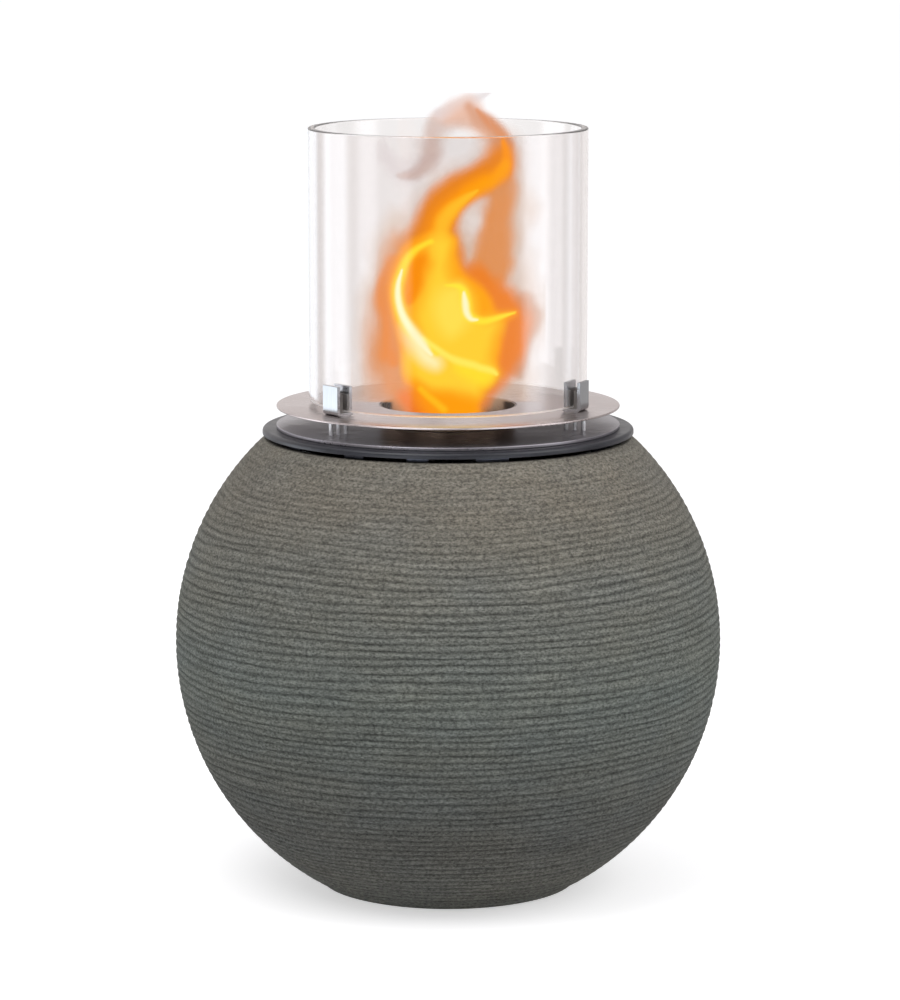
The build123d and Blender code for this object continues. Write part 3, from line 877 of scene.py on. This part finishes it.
def flame_sheet(name, x, y, z, colours, cover, material):
    """A sheet of the flame from grids of places in millimetres, without what is wholly clear."""
    cover = np.where(cover < faintest, 0, cover)
    in_cup = z < cup_top
    cover[in_cup] *= eased((cup_bore - np.abs(x[in_cup])) / wall_fade)
    cover *= eased((z - flame_root) / root_fade)
    shown = cover > 0
    kept = shown[:-1, :-1] | shown[:-1, 1:] | shown[1:, :-1] | shown[1:, 1:]
    width = x.shape[1]
    corners = np.array([row * width + column for row, column in zip(*np.nonzero(kept))])[:, None]
    faces = corners + np.array([0, 1, width + 1, width])
    used, faces = np.unique(faces, return_inverse=True)
    points = np.stack([x.ravel(), y.ravel(), z.ravel()], -1)[used] * MM
    piece = mesh_piece(name, points.tolist(), faces.reshape(-1, 4).tolist(), material, sharp=180)
    tones = np.column_stack([colours.reshape(-1, 3)[used], np.ones(len(used))])
    glow = piece.data.attributes.new("glow", "FLOAT_COLOR", "POINT")
    glow.data.foreach_set("color", tones.ravel().astype(np.float32))
    covers = piece.data.attributes.new("cover", "FLOAT", "POINT")
    covers.data.foreach_set("value", cover.ravel()[used].astype(np.float32))
    piece.visible_shadow = False
    piece.visible_diffuse = False
    piece.visible_glossy = False
    return dress(piece, "burner", "cup")


def flame(material):
    """Front and back of the burning gas, and the sheet between them that faces the sides."""
    lateral = np.arange(-flame_half_width, flame_half_width + flame_step, flame_step)
    heights = np.arange(flame_root, flame_top, flame_step)
    across, up = np.meshgrid(lateral, heights)
    sway = sway_depth * np.sin((up - flame_root) / sway_height)
    depth = flame_depth(across, up)
    colours, cover = painted(across, up, front_seed)
    bulge = sway + ripple_depth * np.sin(across / ripple_width + up / ripple_height)
    front = flame_sheet("flame_front", across, bulge - sheet_gap - depth, up, colours, cover, material)
    behind = bulge + sheet_gap + back_share * depth
    flame_sheet("flame_back", across, behind, up, *painted(across, up, back_seed), material)

    # The side sheet follows the camera's lines of sight, so that it is edge-on in the front view
    bends = smooth_line([(x, z, 0) for z, x in flame_middle], steps=12)
    middle = np.interp(up, bends[:, 1], bends[:, 0])
    colours, cover = painted(middle + side_squeeze * across, up, side_seed)
    past_back = across - sheet_gap - back_share * flame_depth(middle, up)
    cover = cover * (1 - side_thinning * eased(past_back / thinning_depth))
    eye_x, eye_y, eye_z = (value / MM for value in camera_place)
    deep = across + sway
    x = eye_x + (middle - eye_x) * (1 - glass_bend * deep / eye_y)
    z = eye_z + (up - eye_z) * (1 - deep / eye_y)
    flame_sheet("flame_side", x, deep, z, colours, cover, material)

    light = bpy.data.lights.new("flame_light", "POINT")
    light.energy = flame_light_watts
    light.color = flame_light_colour
    light.shadow_soft_size = flame_light_radius
    holder = bpy.data.objects.new("flame_light", light)
    holder.location = (0, 0, flame_light_z)
    holder.parent = front
    holder.visible_glossy = False
    holder.visible_transmission = False
    bpy.context.scene.collection.objects.link(holder)


# Studio

def camera():
    lens = bpy.data.cameras.new("camera")
    lens.lens = camera_lens
    holder = bpy.data.objects.new("camera", lens)
    holder.location = camera_place
    holder.rotation_euler = (radians(90 - camera_pitch), 0, 0)
    bpy.context.scene.collection.objects.link(holder)
    bpy.context.scene.camera = holder


def ray_kinds(tree):
    """Whether a ray looks straight at the studio, and whether a shiny face sent it there. Neither changes
    on the way through glass."""
    path = node(tree, "LightPath")
    through = path.outputs["Is Transmission Ray"]
    bounced = maths(tree, "GREATER_THAN", path.outputs["Glossy Depth"], 0.5)
    bounced = maths(tree, "MULTIPLY", bounced, through)
    straight = maths(tree, "MAXIMUM", path.outputs["Is Camera Ray"], through)
    mirrored = maths(tree, "MAXIMUM", path.outputs["Is Glossy Ray"], bounced)
    return maths(tree, "SUBTRACT", straight, bounced), mirrored


def floor():
    """White floor that keeps the soft shadow. Mirrors see the studio's tones in its place."""
    material, tree, output, _ = finish_of("white_floor")
    seen, mirrored = ray_kinds(tree)
    paint = node(tree, "BsdfDiffuse", {"Color": (0.80, 0.79, 0.80, 1)})
    strength = maths(tree, "MULTIPLY", seen, floor_lift)
    lift = node(tree, "Emission", {"Color": (1, 1, 1, 1), "Strength": strength})
    both = node(tree, "AddShader", {0: paint.outputs[0], 1: lift.outputs[0]})
    open_floor = node(tree, "BsdfTransparent")
    mixed = node(tree, "MixShader", {0: mirrored, 1: both.outputs[0], 2: open_floor.outputs[0]})
    surface(tree, output, mixed)
    size = floor_half_width
    corners = [(-size, -size, 0), (size, -size, 0), (size, size, 0), (-size, size, 0)]
    ground = mesh_piece("floor", corners, [(0, 1, 2, 3)], material)


# What polished parts mirror, by the way they face, in degrees round from the front towards the right.
# The table lies lowest, then come the screens round it, and level parts mirror the backdrop above.
table_tones = [
    (-180, 0.4), (-124, 0.4), (-116, 3.0), (-88, 3.0), (-80, 0.5), (-56, 0.5), (-46, 2.6), (-36, 3.2),
    (-14, 3.2), (-8, 0.8), (14, 0.8), (21, 3.0), (46, 2.8), (56, 0.5), (70, 0.7), (84, 0.6), (98, 0.3),
    (118, 0.6), (150, 0.6), (180, 0.4),
]
screen_tones = [
    (-180, 1.5), (-172, 1.2), (-164, 1.0), (-157, 1.3), (-150, 1.0), (-143, 1.3), (-136, 0.5),
    (-127, 0.6), (-121, 2.3), (-107, 1.9), (-100, 2.9), (-95, 2.9), (-90, 1.1), (-84, 0.4), (-60, 0.5),
    (-50, 1.0), (-34, 1.0), (-28, 0.08), (30, 0.08), (56, 0.3), (62, 0.5), (69, 2.4), (77, 2.8),
    (84, 2.2), (90, 0.8), (96, 0.08), (112, 0.2), (120, 1.2), (128, 0.4), (137, 0.6), (150, 0.9),
    (180, 1.1),
]
upper_tones = [
    (-180, 0.92), (-116, 1.0), (-90, 1.0), (-84, 0.42), (-60, 0.6), (-36, 0.5), (-30, 0.4), (-26, 1.4),
    (-14, 1.4), (-9, 0.6), (22, 0.55), (27, 0.9), (42, 0.9), (48, 0.4), (60, 0.3), (67, 1.0), (95, 1.0),
    (101, 0.45), (150, 0.5), (170, 0.7), (180, 0.9),
]


def studio_ring(tree, share, tones):
    """Tones round the studio: those above lamp_tone are lamps and cool, and the rest are a little warm."""
    cool, warm = (0.94, 1.0, 1.06), (1.0, 0.965, 0.955)
    stops = [(degrees / 360 + 0.5, (*[tone * tint for tint in (cool if tone > lamp_tone else warm)], 1))
             for degrees, tone in tones]
    return ramp(tree, share, stops)


def world():
    """White backdrop for the eye, a soft studio for mirrors and an even light for matte surfaces."""
    sky = bpy.data.worlds.new("studio")
    bpy.context.scene.world = sky
    sky.use_nodes = True
    tree = sky.node_tree
    tree.nodes.clear()
    way = node(tree, "SeparateXYZ", {0: tree.nodes.new("ShaderNodeTexCoord").outputs["Generated"]})
    front = maths(tree, "MULTIPLY", way.outputs[1], -1.0)
    turn = maths(tree, "ARCTAN2", way.outputs[0], front)
    share = maths(tree, "ADD", maths(tree, "DIVIDE", turn, 2 * pi), 0.5)
    rings = [studio_ring(tree, share, tones) for tones in (table_tones, screen_tones, upper_tones)]
    over_table, over_screens, overhead = [
        spread(tree, way.outputs[2], *rise, 0, 1) for rise in (table_rise, upper_rise, overhead_rise)
    ]
    around = blend(tree, over_screens, blend(tree, over_table, rings[0], rings[1]), rings[2])
    studio = blend(tree, overhead, around, overhead_tone)
    straight, mirrored = ray_kinds(tree)
    eye = node(tree, "Background", {"Color": (1, 1, 1, 1), "Strength": 1.0})
    matte = node(tree, "Background", {"Color": (0.98, 0.99, 1, 1), "Strength": matte_light})
    mirror = node(tree, "Background", {"Color": studio, "Strength": 1.0})
    mixed = node(tree, "MixShader", {0: mirrored, 1: matte.outputs[0], 2: mirror.outputs[0]})
    last = node(tree, "MixShader", {0: straight, 1: mixed.outputs[0], 2: eye.outputs[0]})
    out = tree.nodes.new("ShaderNodeOutputWorld")
    tree.links.new(last.outputs[0], out.inputs["Surface"])


def lamp(name, place, power):
    """Soft square lamp turned towards the object."""
    light = bpy.data.lights.new(name, "AREA")
    light.size = lamp_size
    light.energy = power
    holder = bpy.data.objects.new(name, light)
    holder.location = place
    holder.rotation_euler = (Vector(lamp_aim) - Vector(place)).to_track_quat("-Z", "Y").to_euler()
    bpy.context.scene.collection.objects.link(holder)


# Making

bpy.context.scene.view_settings.view_transform = "Standard"
camera()
world()
floor()
for name, (place, power) in lamps.items():
    lamp(name, place, power)

satin_disc = steel("brushed_disc", srgb(194, 183, 181), 0.30, (0.02, 1, 1))
# The lower disc takes a darker copy of the disc steel: painted shade of the gap under the burner plate
disc_steel_painted_shade = steel("rolled_disc_painted_shade", srgb(152, 148, 154), 0.30, (0.02, 1, 1), wear=0.05, metal=0.8)
bright_clip = steel("rolled_clip", srgb(168, 170, 173), 0.18, (1, 1, 0.03), wear=0.05)
# Pins, screws, washers, nuts and rivets take a near-white, mostly matte steel: painted light for the bright
# reflections of polished steel
fastener_steel_painted_light = steel("turned_fastener", srgb(252, 252, 254), 0.2, (1, 1, 1), wear=0.05, metal=0.35)
drawn_cup = steel("drawn_cup", srgb(150, 129, 111), 0.32, (0.3, 0.3, 0.1))
drawn_steel = steel("drawn_steel", srgb(150, 147, 144), 0.32, (0.3, 0.3, 0.1))
coat = powder_coat()
skirt_steel = steel("dark_skirt", srgb(92, 94, 104), 0.30, (0.05, 0.05, 1))
silicone = rubber("silicone", srgb(92, 89, 87))
foot_rubber = rubber("foot_rubber", srgb(38, 38, 38))

ball(concrete())
collar(coat)
disc("lower_disc", "base_disc", base_disc_bore, base_disc_round, disc_steel_painted_shade)
disc("burner_plate", "top_disc", burner_hole, top_disc_round, satin_disc)
burner_cup(drawn_cup)
glass_tube(clear_glass())
for side, angle in clip_angles.items():
    clip(side, angle, bright_clip)
flame(flame_material())

kept_finishes = {
    "vent_skirt": skirt_steel, "spill_cup": drawn_steel, "spill_cup_rivets": fastener_steel_painted_light,
    "spacer_pins": fastener_steel_painted_light, "clip_screws": fastener_steel_painted_light, "screw_washers": fastener_steel_painted_light,
    "screw_nuts": fastener_steel_painted_light, "liner_left": silicone, "liner_right": silicone, "liner_rear": silicone,
    "seat_gasket": silicone, "foot_pads": foot_rubber, "wick": ceramic_felt(), "wick_grid": drawn_cup,
    "grid_ring": drawn_cup,
}
for name, material in kept_finishes.items():
    slots = frame["nodes"][name].data.materials
    for index in range(len(slots)):
        slots[index] = material
